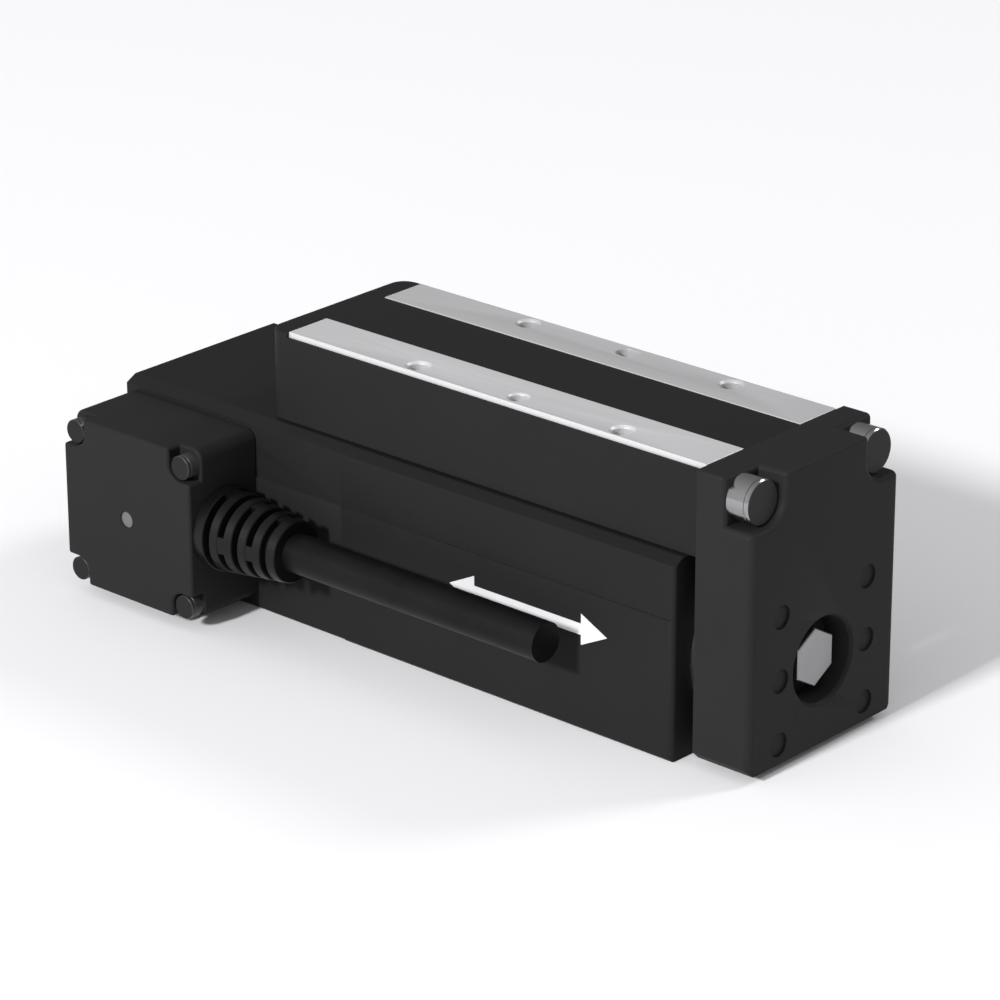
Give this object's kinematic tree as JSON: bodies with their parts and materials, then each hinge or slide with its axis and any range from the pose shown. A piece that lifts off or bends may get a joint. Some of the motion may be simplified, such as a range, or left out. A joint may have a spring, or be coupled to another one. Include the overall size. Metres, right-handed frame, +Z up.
{
  "type": "stepper motor with lead screw",
  "caption": "Compact electric slide table: a stepper motor and lead screw inside a black body push a rail-guided table with a hanging end plate.",
  "frame": {"origin": "middle of the body's bottom face", "axes": "+X the way the table extends, +Z up from the bottom face to the table, -Y the side with the driver box and cable"},
  "size_m": [0.1263, 0.0499, 0.0466],
  "materials": {
    "anodised_black": "matte black anodised",
    "cap_black": "moulded, matte",
    "strip_steel": "satin, finely ground",
    "screw_black": "black oxide",
    "screw_steel": "turned steel, dark flat face",
    "bolt_zinc": "dull zinc plate",
    "flange_steel": "turned, bright",
    "rail_steel": "ground, bright",
    "bearing_steel": "polished",
    "cap_green": "moulded, matte",
    "lens_grey": "diffusing",
    "board_green": "solder mask",
    "ribbon_white": "flat film",
    "rubber_black": "smooth, slightly glossy",
    "bell_aluminium": "die cast",
    "laminations": "stacked sheet edges",
    "copper_wire": "enamelled winding",
    "brass_post": "turned",
    "magnet_grey": "nickel plated",
    "bushing_bronze": "sintered bronze"
  },
  "bodies": {
    "root": {"bearing_balls": "bearing_steel", "bearing_outer_rings": "bearing_steel", "cable": "rubber_black", "driver_board": "board_green", "driver_box": "anodised_black", "driver_box_screws": "screw_black", "encoder_board": "board_green", "encoder_posts": "brass_post", "encoder_screws": "screw_steel", "flange_screws": "screw_black", "front_flange": "flange_steel", "guide_rail": "rail_steel", "light_pipe": "lens_grey", "main_housing": "anodised_black", "motor_bolts": "screw_steel", "motor_front_bell": "bell_aluminium", "motor_rear_bell": "bell_aluminium", "rail_screws": "screw_black", "rear_cover": "anodised_black", "rear_housing": "anodised_black", "ribbon_lead": "ribbon_white", "rod_bushing": "bushing_bronze", "rod_seal": "rubber_black", "stator_coils": "copper_wire", "stator_stack": "laminations", "strain_relief": "rubber_black", "tie_screws": "screw_black"},
    "table": {"slide_table": "anodised_black", "table_end_cap": "cap_black", "near_strip": "strip_steel", "far_strip": "strip_steel", "end_plate": "anodised_black", "corner_screws": "screw_steel", "rod_bolt": "bolt_zinc", "hole_plugs": "anodised_black", "bumper_ring": "rubber_black", "push_rod": "rail_steel", "drive_nut": "bushing_bronze", "carriage_block": "rail_steel", "carriage_caps": "cap_green", "carriage_balls": "bearing_steel", "carriage_screws": "screw_black"},
    "screw": {"lead_screw": "rail_steel", "rotor": "laminations", "encoder_magnet": "magnet_grey", "bearing_inner_rings": "bearing_steel"}
  },
  "joints": [
    {"name": "table_slide", "type": "slide", "parent": "root", "child": "table", "axis": [1, 0, 0], "range_m": [0, 0.03]},
    {"name": "screw_spin", "type": "hinge", "parent": "root", "child": "screw", "pos_m": [0, 0, 0.0145], "axis": [1, 0, 0], "range_deg": [-2700.5, 0]}
  ],
  "couplings": [
    {"joint": "screw_spin", "follows": "table_slide", "rad_per_m": -1570.8}
  ]
}
